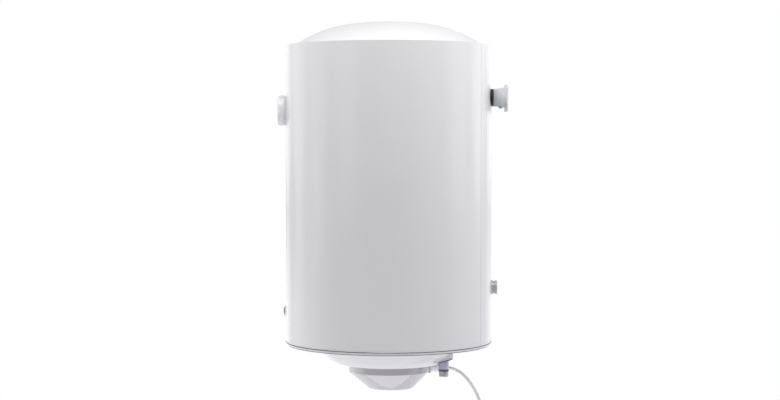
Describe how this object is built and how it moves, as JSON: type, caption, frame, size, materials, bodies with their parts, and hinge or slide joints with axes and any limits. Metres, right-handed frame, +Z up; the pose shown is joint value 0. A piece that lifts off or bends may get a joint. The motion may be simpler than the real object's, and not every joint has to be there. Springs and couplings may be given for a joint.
{
  "type": "tank water heater",
  "caption": "Wall-hung electric storage water heater: round white casing, domed top, service cover and water nipples below, thermometer in front.",
  "frame": {"origin": "centre of the wall bracket's bolt line, on the wall plane", "axes": "+Z up along the tank, +Y into the wall, the front with the thermometer faces -Y"},
  "size_m": [0.4513, 0.5015, 1.038],
  "materials": {
    "casing_enamel": "white powder coat, satin gloss",
    "cap_white": "white, glossy",
    "foam": "rigid insulation foam",
    "tank_enamel": "vitreous enamelled steel",
    "plain_steel": "zinc plated steel",
    "gasket_rubber": "black rubber",
    "element_sheath": "dull sheath",
    "brass_parts": "plain brass",
    "magnesium": "dull cast",
    "thermostat_plastic": "dark moulded",
    "button_red": "red button",
    "knob_grey": "grey moulded",
    "block_ivory": "ivory moulded",
    "wire_colour": "insulated cores",
    "cord_grey": "light grey sheath",
    "sleeve_blue": "pale blue ring",
    "sleeve_red": "red ring",
    "escutcheon_grey": "blue grey disc",
    "cover_plastic": "light grey moulded cover",
    "gland_white": "white nylon",
    "tie_black": "black strap",
    "bracket_zinc": "light grey coated steel",
    "dial_white": "printed dial",
    "pointer_red": "red pointer",
    "clear_lens": "clear lens",
    "lamp_smoke": "smoky lens",
    "seal_grey": "light grey seal"
  },
  "bodies": {
    "root": {"outer_casing": "casing_enamel", "top_cap": "casing_enamel", "bottom_cap": "cap_white", "foam_insulation": "foam", "tank_shell": "tank_enamel", "tank_top_head": "tank_enamel", "tank_bottom_head": "tank_enamel", "flange_collar": "tank_enamel", "flange_gasket": "gasket_rubber", "flange_plate": "plain_steel", "flange_bolts": "plain_steel", "flange_nuts": "plain_steel", "heating_element": "element_sheath", "element_fittings": "brass_parts", "anode_rod": "magnesium", "anode_nut": "plain_steel", "thermowell": "plain_steel", "thermostat_probe": "plain_steel", "thermostat_body": "thermostat_plastic", "terminal_bracket": "plain_steel", "terminal_block": "block_ivory", "internal_wiring": "wire_colour", "earth_stud": "brass_parts", "lamp_lead": "wire_colour", "water_nipples": "plain_steel", "inlet_diffuser": "block_ivory", "outlet_pipe": "plain_steel", "cold_sleeve": "sleeve_blue", "hot_sleeve": "sleeve_red", "pipe_rings": "gasket_rubber", "pipe_escutcheons": "escutcheon_grey", "service_cover": "cover_plastic", "cover_posts": "brass_parts", "cover_screws": "plain_steel", "gland_body": "gland_white", "gland_locknut": "gland_white", "gland_nut": "gland_white", "gland_seal": "gasket_rubber", "cord_boot": "gland_white", "power_cord": "cord_grey", "cord_coil": "cord_grey", "cord_tail": "cord_grey", "cord_tie": "tie_black", "plug_body": "cord_grey", "plug_pins": "plain_steel", "bracket_stem": "bracket_zinc", "bracket_plate": "bracket_zinc", "bracket_grommet": "gasket_rubber", "lower_spacer": "knob_grey", "thermometer_seal": "seal_grey", "thermometer_case": "knob_grey", "thermometer_bezel": "cap_white", "thermometer_dial": "dial_white", "thermometer_lens": "clear_lens", "lamp_holder": "cap_white", "lamp_lens": "lamp_smoke"},
    "pointer": {"thermometer_pointer": "pointer_red"},
    "knob": {"thermostat_spindle": "plain_steel", "temperature_knob": "knob_grey"},
    "reset": {"reset_button": "button_red"}
  },
  "joints": [
    {"name": "pointer_turn", "type": "hinge", "parent": "root", "child": "pointer", "pos_m": [0, -0.494, -0.027], "axis": [0, -1, 0], "range_deg": [-240, 0], "stiffness_Nm_per_rad": 0.00002},
    {"name": "knob_turn", "type": "hinge", "parent": "root", "child": "knob", "pos_m": [0, -0.277, -0.63], "axis": [0, 0, -1], "range_deg": [0, 270]},
    {"name": "reset_press", "type": "slide", "parent": "root", "child": "reset", "axis": [0, 0, 1], "range_m": [0, 0.0015], "stiffness_N_per_m": 400, "springref_m": -0.001}
  ]
}
